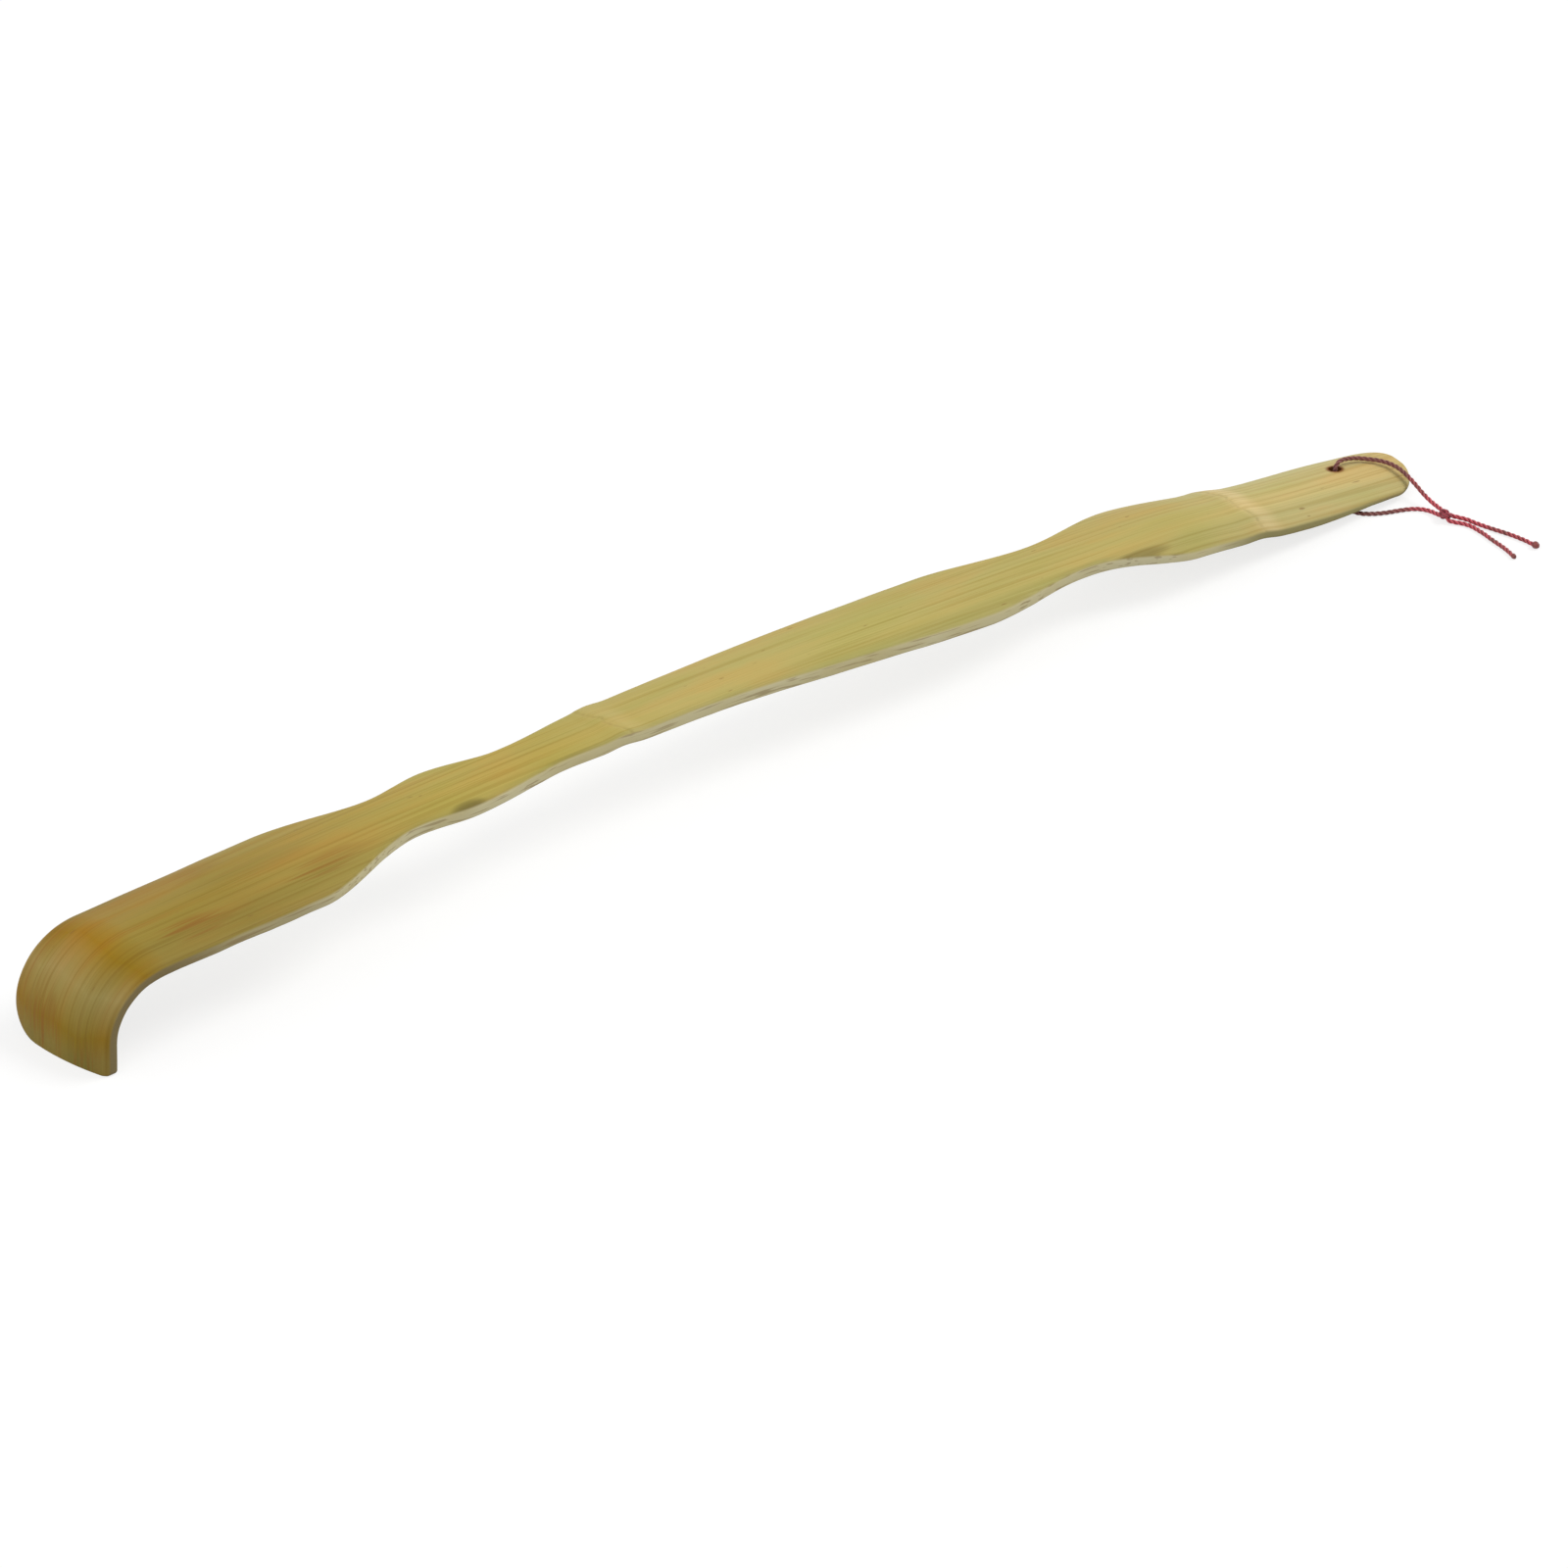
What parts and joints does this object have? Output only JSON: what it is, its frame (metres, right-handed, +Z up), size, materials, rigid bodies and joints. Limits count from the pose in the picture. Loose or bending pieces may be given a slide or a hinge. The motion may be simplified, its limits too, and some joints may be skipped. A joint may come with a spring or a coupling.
{
  "type": "long shoehorn",
  "caption": "Long bamboo shoehorn: a one-piece bent strip with a hooked blade, a waisted handle, a troughed tongue and a red hang cord",
  "frame": {"origin": "middle of the bamboo strip's bounding box, on the table", "axes": "+X from the hook to the tongue, +Z up from the table, +Y to the strip's far edge"},
  "size_m": [0.5122, 0.0816, 0.0347],
  "materials": {
    "bamboo": "smoothed bamboo skin with a satin sheen, browned by heat at the hook",
    "cord": "twisted waxed red cord"
  },
  "bodies": {
    "strip": {"bamboo_strip": "bamboo"},
    "loop": {"cord_upper_leg": "cord", "cord_lower_leg": "cord", "cord_knot": "cord", "cord_long_tail": "cord", "cord_short_tail": "cord", "cord_bead": "cord"}
  },
  "joints": [
    {"name": "loop_swing", "type": "hinge", "parent": "strip", "child": "loop", "pos_m": [0.232, 0.001, 0.006], "axis": [0, 0, 1], "range_deg": [-15, 70]}
  ]
}
